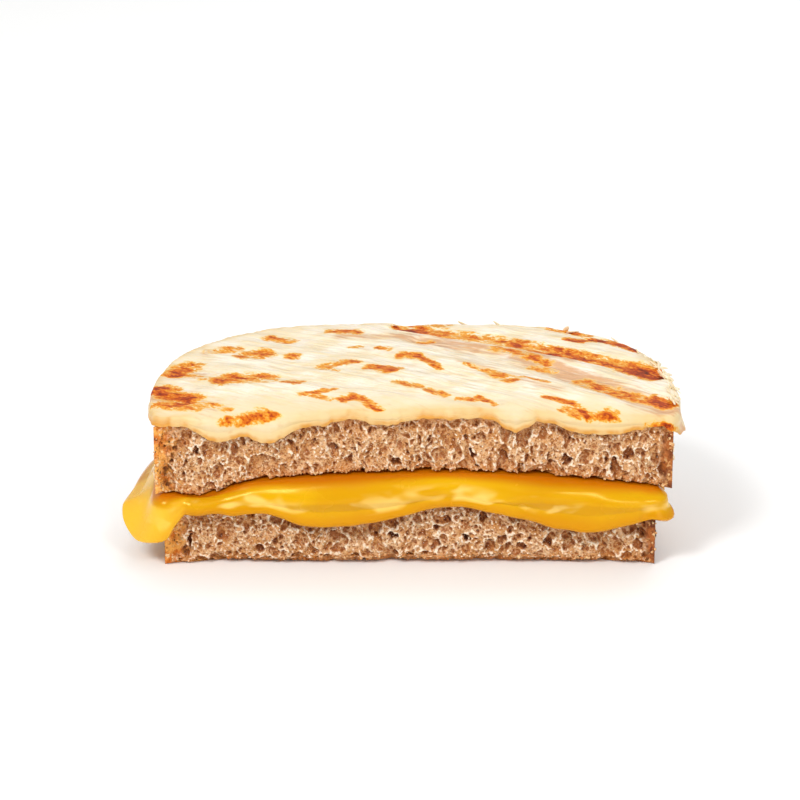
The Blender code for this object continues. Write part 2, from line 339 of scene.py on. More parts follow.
class Finish:
    """A Principled material and short ways to add nodes to it."""

    def __init__(self, name, roughness, subsurface=0.0, reach=1.0, tint=(1.0, 0.4, 0.2), shine=0.5):
        """Start from a roughness, how much light goes under the surface and how far, and the shine."""
        self.material = bpy.data.materials.new(name)
        self.material.use_nodes = True
        self.tree = self.material.node_tree
        self.shader = self.tree.nodes["Principled BSDF"]
        self.put(roughness, self.shader.inputs["Roughness"])
        self.shader.inputs["Subsurface Weight"].default_value = subsurface
        self.shader.inputs["Subsurface Radius"].default_value = tint
        self.shader.inputs["Subsurface Scale"].default_value = reach * MM
        self.shader.inputs["Specular IOR Level"].default_value = shine
        self.places = self.tree.nodes.new("ShaderNodeTexCoord").outputs["Object"]

    def put(self, value, socket):
        """Give a socket a number, a colour or another node's output."""
        if isinstance(value, bpy.types.NodeSocket):
            self.tree.links.new(value, socket)
        else:
            socket.default_value = value

    def field(self, name):
        """A point attribute of the mesh."""
        reader = self.tree.nodes.new("ShaderNodeAttribute")
        reader.attribute_name = name
        return reader.outputs["Fac"]

    def grain(self, size, detail=3.0, stretch=(1.0, 1.0, 1.0), turn=0.0, kind="NOISE", warp=0.0):
        """Noise whose patches are about a size across, in millimetres, on the object's own places."""
        mapping = self.tree.nodes.new("ShaderNodeMapping")
        mapping.vector_type = "TEXTURE"
        mapping.inputs["Scale"].default_value = [size * MM * part for part in stretch]
        mapping.inputs["Rotation"].default_value = (0.0, 0.0, turn)
        self.put(self.places, mapping.inputs["Vector"])
        if kind == "CELLS":
            pattern = self.tree.nodes.new("ShaderNodeTexVoronoi")
            pattern.inputs["Scale"].default_value = 1.0
            self.put(mapping.outputs["Vector"], pattern.inputs["Vector"])
            return pattern.outputs["Distance"]
        pattern = self.tree.nodes.new("ShaderNodeTexNoise")
        pattern.inputs["Scale"].default_value = 1.0
        pattern.inputs["Detail"].default_value = detail
        pattern.inputs["Distortion"].default_value = warp
        self.put(mapping.outputs["Vector"], pattern.inputs["Vector"])
        return pattern.outputs["Fac"]

    def maths(self, operation, first, second=0.0):
        """One step of arithmetic."""
        step = self.tree.nodes.new("ShaderNodeMath")
        step.operation = operation
        self.put(first, step.inputs[0])
        self.put(second, step.inputs[1])
        return step.outputs[0]

    def between(self, value, low, high, start=0.0, end=1.0):
        """Carry a value from low..high to start..end with a smooth S."""
        scale = self.tree.nodes.new("ShaderNodeMapRange")
        scale.interpolation_type = "SMOOTHSTEP"
        self.put(value, scale.inputs["Value"])
        for title, number in (("From Min", low), ("From Max", high), ("To Min", start), ("To Max", end)):
            scale.inputs[title].default_value = number
        return scale.outputs["Result"]

    def blend(self, share, low, high):
        """Mix of two colours."""
        mixer = self.tree.nodes.new("ShaderNodeMix")
        mixer.data_type = "RGBA"
        self.put(share, mixer.inputs["Factor"])
        self.put(low, mixer.inputs[6])
        self.put(high, mixer.inputs[7])
        return mixer.outputs[2]

    def colour(self, value):
        """The base colour."""
        self.put(value, self.shader.inputs["Base Color"])

    def bump(self, height, depth, strength=0.5):
        """Fine relief of a depth in millimetres, on top of any bump already there."""
        relief = self.tree.nodes.new("ShaderNodeBump")
        relief.inputs["Strength"].default_value = strength
        relief.inputs["Distance"].default_value = depth * MM
        self.put(height, relief.inputs["Height"])
        normal = self.shader.inputs["Normal"]
        if normal.links:
            self.put(normal.links[0].from_socket, relief.inputs["Normal"])
        self.put(relief.outputs["Normal"], normal)


def bread_finish(name, crumb_light, crumb_mid):
    """Brown bread: crumb walls painted pale as highlights, bubbles and pits painted darker as shade,
    painted glints, oily toasted edges and a matt seeded crust.
    """
    bread = Finish(name, 0.55, subsurface=0.1, reach=0.5, tint=(1.0, 0.55, 0.3), shine=0.25)
    patch = bread.between(bread.grain(3.0, 4.0), 0.36, 0.64)
    colour = bread.blend(patch, crumb_mid, crumb_light)
    amber = bread.between(bread.grain(1.6, 4.0, warp=0.5), 0.5, 0.68, 0.0, 0.75)
    colour = bread.blend(amber, colour, paint(200, 134, 66))
    cells = bread.grain(0.5, kind="CELLS")
    # Painted shade: tiny dark dots where pinholes sink into the crumb.
    pinhole_shade = bread.between(cells, 0.1, 0.55, 0.9, 0.0)
    colour = bread.blend(pinhole_shade, colour, paint(158, 92, 42))
    # Painted shade: sunken bubbles of the cut and pits of the crust are painted brown to near black, darker
    # the deeper they lie.
    pore_shade = bread.field("pore_shade")
    colour = bread.blend(bread.between(pore_shade, 0.06, 0.5, 0.0, 0.9), colour, paint(156, 88, 38))
    colour = bread.blend(bread.between(pore_shade, 0.5, 1.05, 0.0, 0.95), colour, paint(92, 38, 14))
    # Painted highlight: the crests of the crumb's walls, broken into patches, painted nearly white.
    broken = bread.between(bread.grain(1.1, 4.0), 0.36, 0.62, 0.15, 1.3)
    crest_highlight = bread.maths("MULTIPLY", bread.field("wall"), broken)
    colour = bread.blend(bread.between(crest_highlight, 0.15, 0.8, 0.0, 1.0), colour, paint(250, 230, 204))
    # Painted glints: tiny near-white specks on the open crumb.
    painted_glint = bread.between(bread.grain(0.28, 2.0), 0.62, 0.74, 0.0, 0.8)
    colour = bread.blend(bread.maths("MULTIPLY", painted_glint, bread.field("open")), colour, paint(252, 238, 216))
    toast_break = bread.between(bread.grain(1.3, 3.0), 0.3, 0.7, 0.35, 1.0)
    toast = bread.maths("MULTIPLY", bread.field("toast"), toast_break)
    colour = bread.blend(bread.maths("MULTIPLY", toast, 0.85), colour, paint(208, 126, 46))

    crust_patch = bread.between(bread.grain(2.2, 4.0), 0.36, 0.62)
    brown = bread.blend(crust_patch, paint(112, 52, 20), paint(176, 100, 44))
    golden = bread.blend(crust_patch, paint(208, 112, 26), paint(238, 168, 80))
    # The crust is paler and more golden towards the left end.
    left_end_golden = bread.field("golden")
    crust = bread.blend(left_end_golden, brown, golden)
    flake = bread.between(bread.grain(0.9, 4.0, warp=0.6), 0.54, 0.68, 0.0, 0.9)
    pale_flake = bread.blend(left_end_golden, paint(214, 160, 100), paint(246, 216, 166))
    crust = bread.blend(flake, crust, pale_flake)
    scorch = bread.between(bread.grain(1.4, 4.0, warp=0.4), 0.3, 0.42, 0.85, 0.0)
    crust = bread.blend(scorch, crust, paint(92, 34, 12))
    # Painted shade in the crust's pits.
    crust = bread.blend(bread.between(pore_shade, 0.2, 0.9, 0.0, 0.8), crust, paint(66, 26, 12))
    colour = bread.blend(bread.field("crust"), colour, crust)
    bread.colour(colour)
    bread.bump(cells, 0.25, 0.9)
    bread.bump(bread.grain(0.35, 4.0), 0.16, 0.9)
    bread.bump(bread.maths("MULTIPLY", bread.grain(1.3, 4.0), bread.field("crust")), 0.9, 0.8)
    bread.put(bread.between(toast, 0.1, 0.9, 0.6, 0.34), bread.shader.inputs["Roughness"])
    return bread.material


def cheddar_finish():
    """Melted cheddar: saturated yellow-orange, waxy, glowing where it is thin, with the thin flap also
    painted paler as a glow, painted shade just under the upper slice and painted highlights along the fold.
    """
    cheese = Finish("melted_cheddar", 0.2, subsurface=0.15, reach=1.4, tint=(1.0, 0.45, 0.06), shine=0.52)
    cheese.shader.inputs["Specular Tint"].default_value = paint(255, 226, 140)
    cloud = cheese.between(cheese.grain(12.0, 2.0, stretch=(1.8, 1.0, 0.6)), 0.35, 0.65)
    colour = cheese.blend(cloud, paint(211, 151, 0), paint(220, 166, 0))
    edge = cheese.field("edge")
    colour = cheese.blend(cheese.between(edge, 0.6, 1.0, 0.0, 0.6), colour, paint(203, 127, 0))
    # Painted shade: a deeper orange band along the top of the hang, just under the upper slice.
    colour = cheese.blend(cheese.between(edge, 0.03, 0.19, 0.8, 0.0), colour, paint(194, 94, 0))
    # Painted highlights: soft pale cream patches along the middle of the fold, standing in for broad
    # reflections of the lamps.
    painted_highlight = cheese.between(cheese.grain(5.2, 1.0, stretch=(1.3, 1.0, 0.6), warp=0.3), 0.52, 0.66, 0.0, 0.75)
    above = cheese.between(edge, 0.2, 0.4)
    below = cheese.between(edge, 0.66, 0.9, 1.0, 0.0)
    painted_highlight = cheese.maths("MULTIPLY", painted_highlight, cheese.maths("MULTIPLY", above, below))
    colour = cheese.blend(painted_highlight, colour, paint(246, 208, 112))
    # Painted glow: the free flap painted paler yellow, as if lit through its thin cheese.
    thin = cheese.between(cheese.field("flap"), 0.2, 0.9, 0.0, 0.85)
    colour = cheese.blend(thin, colour, paint(240, 188, 56))
    cheese.colour(colour)
    streak = cheese.grain(3.0, 2.0, stretch=(3.0, 1.0, 0.8))
    cheese.bump(streak, 0.08, 0.3)
    dullness = cheese.between(cheese.grain(6.0, 2.0), 0.3, 0.7, 0.14, 0.28)
    cheese.put(dullness, cheese.shader.inputs["Roughness"])
    return cheese.material


def coat_finish():
    """Melted white cheese: creamy and waxy, golden where thin, with painted shade on its hanging front,
    browned where the grill bars pressed.
    """
    cream = (1.0, 0.7, 0.35)
    cheese = Finish("grilled_cheese_coat", 0.4, subsurface=0.15, reach=1.5, tint=cream, shine=0.25)
    cheese.shader.inputs["Specular Tint"].default_value = paint(255, 240, 210)
    cloud = cheese.between(cheese.grain(7.0, 4.0), 0.35, 0.65)
    colour = cheese.blend(cloud, paint(235, 217, 182), paint(243, 232, 212))
    fibres = cheese.grain(1.6, 5.0, stretch=(4.5, 0.7, 1.0), turn=BAR_TURN)
    creamy = cheese.between(fibres, 0.5, 0.68, 0.0, 0.55)
    colour = cheese.blend(creamy, colour, paint(234, 206, 152))
    smooth = cheese.field("smooth")
    colour = cheese.blend(cheese.between(smooth, 0.0, 1.0, 0.0, 0.75), colour, paint(222, 200, 154))
    border = cheese.field("border")
    # Golden towards the lip where the coat thins; the darker, wider part of this gradient on the hanging
    # front is painted shade.
    colour = cheese.blend(cheese.between(border, 0.4, 3.4, 0.65, 0.0), colour, paint(222, 188, 124))
    patchy = cheese.between(cheese.grain(3.5, 2.0), 0.35, 0.6, 0.35, 1.0)
    lip = cheese.maths("MULTIPLY", cheese.between(border, 0.0, 0.9, 0.95, 0.0), patchy)
    colour = cheese.blend(lip, colour, paint(212, 148, 62))

    streaks = cheese.grain(1.4, 5.0, stretch=(3.5, 0.8, 1.0), turn=BAR_TURN)
    glassy = cheese.maths("ADD", cheese.field("glassy"), cheese.maths("MULTIPLY", streaks, 1.8))
    colour = cheese.blend(cheese.between(glassy, 1.0, 1.75, 0.0, 0.9), colour, paint(208, 154, 106))

    fleck = cheese.maths("SUBTRACT", cheese.grain(0.5, 2.0, stretch=(1.6, 0.9, 1.0), turn=BAR_TURN), 0.5)
    ragged = cheese.grain(2.4, 4.0, stretch=(1.5, 0.9, 1.0), turn=BAR_TURN, warp=0.6)
    ragged = cheese.maths("SUBTRACT", ragged, 0.47)
    torn = cheese.maths("MULTIPLY", ragged, 2.4)
    broken = cheese.maths("ADD", torn, cheese.maths("MULTIPLY", fleck, 1.3))
    near = cheese.between(cheese.field("brown"), 0.02, 0.5)
    heat = cheese.maths("ADD", cheese.field("brown"), cheese.maths("MULTIPLY", broken, near))
    colour = cheese.blend(cheese.between(heat, 0.2, 0.5, 0.0, 0.8), colour, paint(236, 200, 122))
    colour = cheese.blend(cheese.between(heat, 0.42, 0.6, 0.0, 0.95), colour, paint(224, 150, 34))
    colour = cheese.blend(cheese.between(heat, 0.7, 0.98, 0.0, 0.95), colour, paint(206, 98, 2))
    colour = cheese.blend(cheese.between(heat, 1.02, 1.26, 0.0, 0.95), colour, paint(160, 50, 0))
    colour = cheese.blend(cheese.between(heat, 1.35, 1.65, 0.0, 0.95), colour, paint(88, 26, 4))
    cheese.colour(colour)
    rest = cheese.maths("SUBTRACT", 1.0, smooth)
    folds = cheese.grain(5.0, 2.0, stretch=(1.7, 0.8, 1.0), turn=BAR_TURN)
    cheese.bump(cheese.maths("MULTIPLY", folds, rest), 1.6, 0.6)
    cheese.bump(cheese.maths("MULTIPLY", fibres, rest), 0.5, 0.7)
    fine = cheese.grain(0.5, 3.0, stretch=(3.0, 0.8, 1.0), turn=BAR_TURN)
    cheese.bump(cheese.maths("MULTIPLY", fine, rest), 0.08, 0.5)
    cheese.bump(heat, 0.1, 0.4)
    cheese.put(cheese.between(heat, 0.4, 0.9, 0.34, 0.6), cheese.shader.inputs["Roughness"])
    return cheese.material


def seed_finish(name, dark, light, roughness):
    """A seed's husk: two shades in soft patches."""
    husk = Finish(name, roughness, subsurface=0.1, reach=0.5)
    husk.colour(husk.blend(husk.between(husk.grain(1.3, 2.0), 0.35, 0.65), dark, light))
    husk.bump(husk.grain(0.3, 2.0), 0.04, 0.4)
    return husk.material


# ---------------------------------------------------------------- bread

def bubbles(across, up, cell, small, large, share, seed):
    """Depth of the open bubbles that a cut goes through.

    Each cell of a jittered lattice may hold one stretched and turned ball, whose centre lies a little
    before or behind the cut; the depth is that of the deepest ball at a place.
    """
    i = np.floor(across / cell).astype(np.int64)
    j = np.floor(up / cell).astype(np.int64)
    depth = np.zeros_like(across)
    for step_i, step_j in itertools.product((-1, 0, 1), repeat=2):
        ci, cj = i + step_i, j + step_j
        right = across - (ci + hashed(ci, cj, 0, seed)) * cell
        above = up - (cj + hashed(ci, cj, 1, seed)) * cell
        radius = small + (large - small) * hashed(ci, cj, 2, seed) ** 1.5
        turn = np.pi * hashed(ci, cj, 3, seed)
        stretch = 1.0 + 0.7 * hashed(ci, cj, 4, seed) ** 2
        long_way = (right * np.cos(turn) + above * np.sin(turn)) / stretch
        short_way = (above * np.cos(turn) - right * np.sin(turn)) * np.sqrt(stretch)
        room = radius ** 2 - long_way ** 2 - short_way ** 2
        sink = radius * (0.75 * hashed(ci, cj, 5, seed) - 0.55)
        here = (room > 0) & (hashed(ci, cj, 6, seed) < share)
        depth = np.where(here, np.maximum(depth, sink + np.sqrt(np.maximum(room, 0.0))), depth)
    return depth


def foam(across, up, cell, wall, seed):
    """Depth of fine foam: nothing on the walls between the cells of a jittered lattice, and each
    cell's own depth inside them. The wall lies where the two nearest centres are equally far."""
    i = np.floor(across / cell).astype(np.int64)
    j = np.floor(up / cell).astype(np.int64)
    nearest = np.full(across.shape, np.inf)
    second = np.full(across.shape, np.inf)
    deep = np.zeros_like(across)
    for step_i, step_j in itertools.product((-2, -1, 0, 1, 2), repeat=2):
        ci, cj = i + step_i, j + step_j
        right = across - (ci + hashed(ci, cj, 0, seed)) * cell
        above = up - (cj + hashed(ci, cj, 1, seed)) * cell
        away = np.hypot(right, above)
        closer = away < nearest
        second = np.minimum(second, np.where(closer, nearest, away))
        deep = np.where(closer, hashed(ci, cj, 2, seed), deep)
        nearest = np.where(closer, away, nearest)
    return (0.25 + 0.75 * deep ** 2) * (1.0 - np.exp(-((second - nearest) / wall) ** 1.5))


# Single large holes of the two cut faces: (across, up, half width, half height, depth).
UPPER_HOLES = (
    (-31, 21.5, 3.6, 2.8, 1.5), (-49.3, 25.2, 0.9, 1.8, 1.6), (-44.8, 25, 0.6, 1.2, 1.6),
    (-42.5, 25.3, 1.2, 1.6, 1.4), (-50.7, 19.9, 0.8, 1.5, 1.5), (-3.7, 22.9, 1.2, 1.0, 2.6),
    (12.2, 24.6, 0.4, 1.5, 2.4), (12.6, 21.6, 0.5, 1.0, 2.2), (20.3, 29.7, 1.2, 0.8, 1.4),
    (31.4, 23.1, 0.6, 1.4, 2.2), (41.9, 20.5, 0.8, 2.8, 2.0), (45, 24.4, 1.0, 1.5, 2.0),
    (35.5, 23.8, 1.7, 1.5, 1.2), (28, 21, 1.6, 1.9, 1.6), (22, 19.5, 0.9, 2.6, 1.8),
    (-21, 26, 1.5, 1.2, 1.0),
)
LOWER_HOLES = (
    (-16, 6, 1.9, 1.5, 2.2), (-16, 3.3, 1.3, 1.1, 1.6), (-46.5, 5.2, 0.5, 2.0, 2.0),
    (-23.7, 5.2, 1.6, 1.4, 1.0), (-4.4, 6, 0.9, 0.8, 2.2), (-4.6, 9, 1.2, 0.9, 1.6),
    (14.5, 10.5, 1.1, 1.2, 2.0), (4.8, 8.1, 0.9, 0.9, 1.8), (18.5, 5.4, 1.2, 1.1, 1.8),
    (22.2, 3.9, 1.2, 1.2, 1.9), (28.2, 5, 0.9, 1.4, 2.0), (4.4, 4.1, 1.0, 1.2, 1.8),
    (32.6, 7.5, 0.9, 0.5, 2.4), (11, 5.6, 0.6, 0.6, 2.2), (-35, 8, 1.0, 1.6, 1.2),
    (-29, 11.5, 1.2, 0.9, 1.8), (40, 4, 0.9, 1.0, 1.8),
)


def single_holes(across, up, holes):
    """Depth of the listed holes: each is the deep half of an egg, its depth times sqrt(1 - r^2)."""
    depth = np.zeros_like(across)
    for x, z, half_width, half_height, deep in holes:
        room = 1.0 - ((across - x) / half_width) ** 2 - ((up - z) / half_height) ** 2
        depth = np.maximum(depth, deep * np.sqrt(np.maximum(room, 0.0)))
    return depth


def crumb_relief(places, holes, seed, roundness):
    """Depth of the open crumb: large and middling bubbles, with fine foam in the walls between them."""
    across, up = places[..., 0], places[..., 2]
    spot = np.stack([across, np.zeros_like(across), up], axis=-1)
    drift = 0.5 / roundness
    across = across + drift * noise(spot, 2.3, seed + 40) + 0.35 * drift * noise(spot, 0.7, seed + 41)
    up = up + drift * noise(spot, 2.1, seed + 42) + 0.35 * drift * noise(spot, 0.7, seed + 43)
    bent = 0.45 * noise(spot, 1.1, seed + 44) + 0.25 * noise(spot, 0.5, seed + 45)
    single = single_holes(across + bent, up + 0.5 * noise(spot, 1.3, seed + 46), holes)
    up = up * (0.62 if roundness < 1.5 else 0.88)
    large = bubbles(across, up, 4.2, 0.8, 2.3, 0.5, seed)
    middling = bubbles(across, up, 1.9, 0.4, 1.25, 0.85, seed + 1)
    small = bubbles(across, up, 0.8, 0.2, 0.5, 0.8, seed + 2)
    fine = foam(across, up, 0.85, 0.17, seed + 3)
    grain = 0.2 * noise(spot, 0.42, seed + 47)
    dense = 0.2 + 0.5 * ease(-0.4, 0.5, noise(spot, 4.0, seed + 48))
    return np.maximum(single, 0.95 * large + 0.95 * middling + 0.8 * small) + dense * fine + grain


def slice_skin(name, rim, lower, upper, cut_lift, holes, seed, roundness, finish):
    """A slice of bread between two heights.

    The wall runs straight down from the upper height to the lower one. On the cut it is pushed in by
    the crumb's bubbles; on the crust it is rounded by a quarter circle at both faces and roughened.
    The faces above and below are the rim drawn in towards the middle in shares.
    """
    columns = len(rim)
    steps = np.linspace(1.0, 0.0, WALL_ROWS)[:, None]
    from_left = distance_along(rim, 0)
    from_right = distance_along(rim, BREAD_COLUMNS[0])
    on_cut = (np.arange(columns) <= BREAD_COLUMNS[0])[None, :]
    to_corner = np.minimum(np.abs(from_left), np.abs(from_right))[None, :]
    crusty = np.where(on_cut, 0.0, ease(0.0, 1.6, to_corner))
    away = outward(rim)

    low = lower(rim[:, 0], rim[:, 1])[None, :]
    high = upper(rim[:, 0], rim[:, 1])[None, :]
    tall = high - low
    height = low + steps * tall
    from_face = np.minimum(steps, 1.0 - steps) * tall
    bend = 2.6
    inset = bend - np.sqrt(np.maximum(bend ** 2 - np.maximum(bend - from_face, 0.0) ** 2, 0.0))
    inset = np.minimum(inset, 1.9) * crusty
    places = np.empty((WALL_ROWS, columns, 3))
    places[..., 0] = rim[None, :, 0] - away[None, :, 0] * inset
    places[..., 1] = rim[None, :, 1] - away[None, :, 1] * inset
    places[..., 2] = height

    # Bubbles of the cut, shallow next to the crust and under the oily top.
    depth = crumb_relief(places, holes, seed, roundness)
    near_crust = ease(0.4, 2.6, to_corner)
    open_crumb = np.where(on_cut, near_crust, 0.0) * (0.55 + 0.45 * ease(0.3, 2.4, (1.0 - steps) * tall))
    depth = 3.2 * (1.0 - np.exp(-depth * open_crumb / 2.6))
    close_by = soften(depth, 8) - depth
    wide_by = soften(depth, 60) - depth
    # Crests of the walls between bubbles, which get a painted highlight.
    wall = np.clip(close_by / 0.36, 0.0, 1.0) * 0.8 + np.clip(wide_by / 0.9, 0.0, 1.0) * 0.45
    wall = wall * np.where(on_cut, 1.0, 0.0)
    # Sunken places of the cut, which get painted shade.
    hollow = np.clip(-close_by / 0.42, 0.0, 1.0) * 0.6 + np.clip(-wide_by / 1.1, 0.0, 1.0) * 0.7
    saw = np.where(on_cut, 0.35 + 0.35 * noise(places, (9.0, 9.0, 5.0), seed + 5), 0.0) * near_crust

    # Crust: broad lumps, wrinkles and small pits, all inwards.
    lumps = 0.45 + 0.45 * rough(places, 4.0, seed + 6, 3)
    wrinkles = 0.4 + 0.4 * rough(places, (9.0, 9.0, 1.5), seed + 14, 3)
    pits = np.maximum(0.0, rough(places, 1.3, seed + 9, 3) - 0.2) * 1.1
    crust_in = (lumps + wrinkles + pits) * ease(0.0, 1.2, to_corner) * np.where(on_cut, 0.0, 1.0)
    places[..., 0] -= away[None, :, 0] * crust_in
    places[..., 1] -= away[None, :, 1] * crust_in
    places[..., 1] += depth + saw

    # Ragged lower edge: bubbles that open there, and toasted nubs.
    near_foot = np.exp(-steps * tall / 0.9)
    nubs = 0.45 + 0.45 * rough(places * (1.0, 0.0, 0.0), 1.0, seed + 20, 2)
    rise = cut_lift * arch(rim[:, 0], rim[:, 1])[None, :]
    foot = (rise + np.where(on_cut, 0.2 * np.minimum(depth, 1.3) + 0.45 * nubs, 0.25 * nubs)) * near_foot
    places[..., 2] += foot * ease(0.0, 1.0, to_corner + 0.3)

    shares = np.array([0.12, 0.4, 0.66, 0.84, 0.92, 0.965, 0.985])[:, None, None]
    middle = np.array([0.0, MIDDLE_TO_CUT - CUT_TO_WIDEST])
    inner = places[0][None, :, :2]
    above = middle + shares * (inner - middle)
    above_z = upper(above[..., 0], above[..., 1])
    above_z = above_z + (places[0, :, 2] - above_z[-1]) * (shares[..., 0] / shares[-1, 0]) ** 40
    inner = places[-1][None, :, :2]
    below = middle + shares[::-1] * (inner - middle)
    below_z = lower(below[..., 0], below[..., 1])
    edge_rise = places[-1, :, 2] - below_z[0]
    below_z = below_z + edge_rise * (shares[::-1, :, 0] / shares[-1, 0]) ** 60
    rings = np.concatenate([
        np.concatenate([above, above_z[..., None]], axis=-1),
        places,
        np.concatenate([below, below_z[..., None]], axis=-1),
    ])
    faces = len(shares)
    spread = ((faces, faces), (0, 0))
    toast_top = np.exp(-(1.0 - steps) * tall / 1.7)
    toast_foot = np.exp(-steps * tall / 1.1)
    toast = np.maximum(0.85 * toast_top, toast_foot) * np.ones((1, columns))
    thick = np.where(np.abs(from_left) < np.abs(from_right), 1.6, 1.0)[None, :]
    ragged = 1.2 * noise(places, 1.6, seed + 30)
    crust_band = np.where(on_cut, 1.0 - ease(1.0, 3.6, to_corner / thick + ragged), 1.0)
    # Share of golden crust, most at the left end.
    golden = 1.0 - ease(5.0, 12.0, np.abs(from_left))[None, :]
    top_pole = np.array([*middle, upper(middle[0], middle[1])])
    bottom_pole = np.array([*middle, lower(np.array(middle[0]), np.array(middle[1]))])
    # Painted shade mask: hollows of the cut and pits of the crust.
    pore_shade = np.where(on_cut, hollow, np.clip(pits, 0.0, 1.0))
    every_row = np.ones((WALL_ROWS, 1))
    open_face = np.where(on_cut, near_crust, 0.0) * every_row
    values = {
        "pore_shade": np.pad(pore_shade, spread, mode="constant"),
        "wall": np.pad(wall, spread, mode="constant"),
        "toast": np.pad(toast, spread, mode="constant", constant_values=1.0),
        "crust": np.pad(crust_band * every_row, spread, mode="constant", constant_values=0.35),
        "open": np.pad(open_face, spread, mode="constant"),
        "golden": np.pad(golden * every_row, spread, mode="edge"),
    }
    piece = skin(name, rings, top_pole, bottom_pole, values, finish)
    return piece, places


# ---------------------------------------------------------------- melted sheets

def over_edge(rim, away, distance, radius, bend, slope):
    """Places beyond a slice's edge: round the edge at a radius, then straight on at the slope.

    The turn is distance / bend up to the slope; what is left of the distance runs straight.
    """
    turn = np.minimum(distance / bend, slope)
    straight = distance - bend * turn
    out = radius * np.sin(turn) + straight * np.cos(turn)
    up = radius * np.cos(turn) - straight * np.sin(turn)
    level = rim[None] + away[None] * out[..., None]
    facing = np.concatenate([away[None] * np.sin(turn)[..., None], np.cos(turn)[..., None]], axis=-1)
    return np.concatenate([level, up[..., None]], axis=-1), facing


def read_profile(distance, profile, item):
    """Straight-line reading of a flap's profile: item 1 is the length, item 2 the slope."""
    rows = np.array(profile)
    return np.interp(distance, rows[:, 0], rows[:, item])


def spread_of_edge(rim, right, base, crust_base, hills, flaps, smoothing):
    """Length and slope of a sheet's edge at every column, from its hills over the cut and its flaps."""
    in_front = np.arange(len(rim)) <= right
    over_cut = base + sum(down * hill(rim[:, 0], x, width) for x, width, down in hills)
    lengths = np.where(in_front, over_cut, crust_base)
    slopes = np.full(len(rim), HANG)
    for corner, profile in flaps:
        distance = distance_along(rim, corner)
        lengths = np.maximum(lengths, crust_base + read_profile(distance, profile, 1))
        slopes = np.minimum(slopes, read_profile(distance, profile, 2))
    for _ in range(smoothing):
        lengths = (np.roll(lengths, 1) + 2 * lengths + np.roll(lengths, -1)) / 4
        slopes = (np.roll(slopes, 1) + 2 * slopes + np.roll(slopes, -1)) / 4
    return lengths, np.radians(slopes)


def sheet_skin(name, rim, under, over, edge, lip, roundness, relief, shares, hangs, finish, fields):
    """A melted sheet: its face drawn in from the rim, its hanging edge, a lip and the way back.

    The lip is half a superellipse, round where roundness is 1 and square where it is small.
    relief(places, hang) lifts the outer skin along its normal; fields(places, hang, border) gives the
    attributes, border being the distance to the lip along the skin.
    """
    lengths, slopes = edge
    away = outward(rim)
    columns = len(rim)
    middle = np.array([0.0, MIDDLE_TO_CUT - CUT_TO_WIDEST])
    base = under(rim[:, 0], rim[:, 1]) - GAP
    thick = over(rim[:, 0], rim[:, 1]) - under(rim[:, 0], rim[:, 1])
    bend = GAP + np.minimum(thick, lip) / 2

    def face(share_list, height):
        """The rim drawn in towards the middle in shares, at a height."""
        level = middle + share_list[:, None, None] * (rim[None] - middle)
        return np.concatenate([level, height(level[..., 0], level[..., 1])[..., None]], axis=-1)

    def hanging(share, radius, extra=0.0):
        """The edge at shares of its length, at a radius from the edge of the slice."""
        distance = lengths[None] * share + extra
        spots, facing = over_edge(rim, away, distance, radius, bend[None], slopes[None])
        spots[..., 2] += base
        return spots, facing

    upper = face(shares, over)
    share = hangs[:, None]
    thinned = thick[None] + (lip[None] - thick[None]) * np.minimum(1.0, 1.6 * share)
    outer, facing = hanging(share, GAP + thinned)
    round_turn = np.linspace(0.0, np.pi, LIP_ROWS + 2)[1:-1, None]
    across_lip = np.sign(np.cos(round_turn)) * np.abs(np.cos(round_turn)) ** roundness[None]
    end_radius = GAP + lip[None] * (0.5 + 0.5 * across_lip)
    beyond = lip[None] * 0.5 * np.sin(round_turn) ** roundness[None]
    rim_spots, rim_facing = hanging(np.ones((LIP_ROWS, 1)), end_radius, beyond)
    back_share = hangs[::-3, None]
    inner, _ = hanging(back_share, np.full((len(back_share), columns), GAP))
    lower = face(shares[::-8], under)

    outside = np.concatenate([upper, outer, rim_spots])
    up = np.zeros_like(upper)
    up[..., 2] = 1.0
    normal = np.concatenate([up, facing, rim_facing])
    hang = np.concatenate([
        np.zeros((len(shares), columns)),
        share * np.ones((1, columns)),
        np.ones((LIP_ROWS, columns)),
    ])
    fade = np.concatenate([np.ones((len(shares) + len(hangs), 1)), np.cos(round_turn / 2) ** 2])
    outside = outside + normal * (relief(outside, hang) * fade)[..., None]
    rings = np.concatenate([outside, inner, lower])
    rest = len(inner) + len(lower)
    inland = np.linalg.norm(upper[..., :2] - rim[None], axis=-1) + lengths
    border = np.concatenate([inland, (1.0 - share) * lengths, np.zeros((LIP_ROWS, columns))])
    values = fields(outside, hang, border)
    values = {title: np.pad(field, ((0, rest), (0, 0)), mode="edge") for title, field in values.items()}
    top_pole = np.array([*middle, rings[0, :, 2].mean()])
    bottom_pole = np.array([*middle, under(middle[0], middle[1])])
    return skin(name, rings, top_pole, bottom_pole, values, finish)


